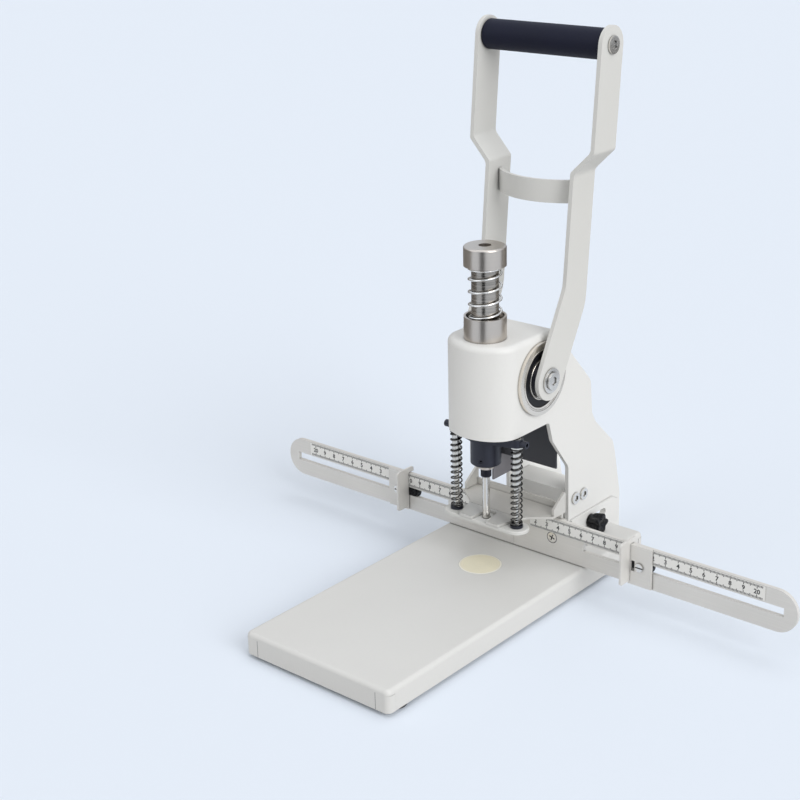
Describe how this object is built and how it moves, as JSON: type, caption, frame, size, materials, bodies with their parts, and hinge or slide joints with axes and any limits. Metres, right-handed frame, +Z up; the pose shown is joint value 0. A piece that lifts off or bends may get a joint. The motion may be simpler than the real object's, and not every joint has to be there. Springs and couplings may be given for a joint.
{
  "type": "paper drill",
  "caption": "Manual lever paper drill: a rack plunger with a hollow drill, a sprung presser plate, and a sliding ruled fence with side stops on a flat base.",
  "frame": {"origin": "middle of the machine's footprint, on the desk", "axes": "+X to the right along the ruled fence, +Y to the back, +Z up"},
  "size_m": [0.46, 0.3145, 0.3975],
  "materials": {
    "white_paint": "smooth satin powder coat",
    "base_paint": "fine satin powder coat",
    "black_paint": "satin",
    "grey_paint": "satin",
    "deck_steel": "matt",
    "fence_steel": "matt",
    "steel": "ground",
    "nickel": "bright nickel",
    "spring_steel": "bright wire",
    "black_steel": "blackened, satin",
    "screw_zinc": "zinc plated",
    "grip_rubber": "matt",
    "black_plastic": "moulded",
    "black_rubber": "matt",
    "pad_nylon": "cut nylon",
    "scale_white": "printed strip",
    "bronze": "bored"
  },
  "bodies": {
    "frame": {"base_plate": "base_paint", "rubber_feet": "black_rubber", "frame_shell": "white_paint", "rear_cover": "white_paint", "guide_blocks": "steel", "plunger_bushes": "bronze", "throat_cover": "black_paint", "side_guard": "grey_paint", "cross_block": "white_paint", "wall_screws": "screw_zinc", "foot_brackets": "white_paint", "bracket_bolts": "screw_zinc", "bearing_housings": "steel", "bearing_outer_races": "steel", "bearing_seals": "black_rubber", "bearing_balls": "nickel", "spring_cup": "nickel", "return_spring": "spring_steel"},
    "lever": {"lever_arm_right": "white_paint", "lever_arm_left": "white_paint", "cross_strap": "white_paint", "grip": "grip_rubber", "grip_rod": "steel", "grip_bolts": "screw_zinc", "lever_shaft": "steel", "pinion": "steel", "hub_spacers": "black_steel", "shaft_bolts": "screw_zinc", "bearing_inner_races": "steel"},
    "plunger": {"plunger_rack": "steel", "plunger_cap": "nickel", "chuck": "black_steel", "chuck_set_screw": "screw_zinc", "chuck_ring": "nickel", "bit_collar": "black_steel", "hollow_drill": "nickel", "crossbar": "black_steel", "crossbar_screws": "black_steel", "guide_tubes": "steel", "spring_washers": "nickel", "presser_springs": "spring_steel"},
    "presser": {"presser_plate": "white_paint", "presser_fork": "fence_steel", "presser_pins": "steel", "pin_nuts": "black_steel"},
    "carriage": {"carriage": "deck_steel", "slide_bar": "white_paint", "fence_bar_right": "fence_steel", "fence_bar_left": "fence_steel", "scale_strips": "scale_white", "fence_screws": "screw_zinc"},
    "knob": {"clamp_knob": "black_plastic", "clamp_stud": "steel"},
    "stop_right": {"stop_clip_right": "fence_steel", "stop_slider_right": "black_plastic", "stop_screw_right": "screw_zinc"},
    "stop_left": {"stop_clip_left": "fence_steel", "stop_slider_left": "black_plastic", "stop_screw_left": "screw_zinc"},
    "pad": {"cutting_pad": "pad_nylon"}
  },
  "joints": [
    {"name": "lever_swing", "type": "hinge", "parent": "frame", "child": "lever", "pos_m": [0, 0.05125, 0.1595], "axis": [1, 0, 0], "range_deg": [0, 101.8]},
    {"name": "plunger_slide", "type": "slide", "parent": "frame", "child": "plunger", "axis": [0, 0, -1], "range_m": [0, 0.032], "stiffness_N_per_m": 900, "springref_m": -0.022, "deforming": ["return_spring"]},
    {"name": "presser_float", "type": "slide", "parent": "plunger", "child": "presser", "axis": [0, 0, 1], "range_m": [0, 0.025], "stiffness_N_per_m": 4600, "springref_m": -0.004, "deforming": ["presser_springs"]},
    {"name": "fence_slide", "type": "slide", "parent": "frame", "child": "carriage", "axis": [0, 1, 0], "range_m": [0, 0.018]},
    {"name": "knob_turn", "type": "hinge", "parent": "carriage", "child": "knob", "pos_m": [0.033, 0.11375, 0.0275], "axis": [1, 0, 0], "range_deg": [0, 270]},
    {"name": "stop_right_slide", "type": "slide", "parent": "carriage", "child": "stop_right", "axis": [1, 0, 0], "range_m": [-0.0305, 0.093]},
    {"name": "stop_left_slide", "type": "slide", "parent": "carriage", "child": "stop_left", "axis": [-1, 0, 0], "range_m": [-0.0305, 0.093]},
    {"name": "pad_turn", "type": "hinge", "parent": "frame", "child": "pad", "pos_m": [0, 0.01825, 0.015], "axis": [0, 0, 1], "continuous": true}
  ],
  "couplings": [
    {"joint": "plunger_slide", "follows": "lever_swing", "m_per_rad": 0.018}
  ]
}
